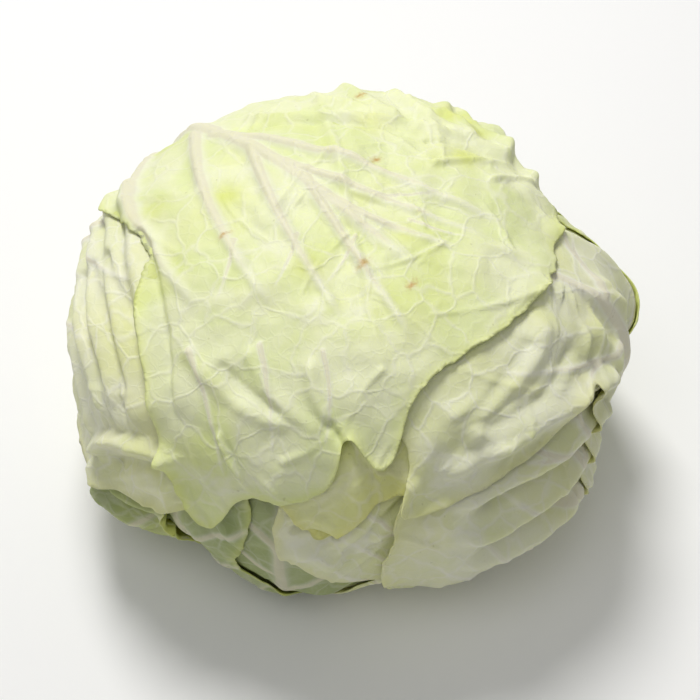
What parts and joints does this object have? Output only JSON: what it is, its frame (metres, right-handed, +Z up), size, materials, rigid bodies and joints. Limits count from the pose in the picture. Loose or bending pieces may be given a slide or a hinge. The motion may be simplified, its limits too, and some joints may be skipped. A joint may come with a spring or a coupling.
{
  "type": "flat-headed cabbage",
  "caption": "Flat-headed green cabbage: a squat, tightly wrapped head of broad overlapping leaves with raised ribs, resting on a short stalk cut flush.",
  "frame": {"origin": "centre of the stalk's cut face, where the cabbage rests", "axes": "+Z up through the stalk and the head, +X along the head's width, -Y towards the side where the top leaf ends"},
  "size_m": [0.2339, 0.2131, 0.147],
  "materials": {
    "cut_stalk": "cut flesh, slightly browned",
    "heart_leaf": "waxy leaf, pale",
    "pale_leaf": "waxy leaf, pale yellow-green between whiter ribs",
    "yellow_leaf": "waxy leaf, yellower",
    "white_leaf": "waxy leaf, nearly white",
    "green_leaf": "waxy leaf, greener"
  },
  "bodies": {
    "root": {"stalk": "cut_stalk", "heart": "heart_leaf", "inner_back_leaf": "pale_leaf", "lower_front_leaf": "green_leaf", "lower_corner_leaf": "green_leaf", "front_leaf": "white_leaf", "front_right_leaf": "white_leaf", "under_top_leaf": "yellow_leaf", "right_leaf": "white_leaf", "lower_left_leaf": "green_leaf", "left_leaf": "white_leaf", "top_leaf": "pale_leaf", "back_right_leaf": "pale_leaf", "back_leaf": "pale_leaf"}
  },
  "joints": []
}
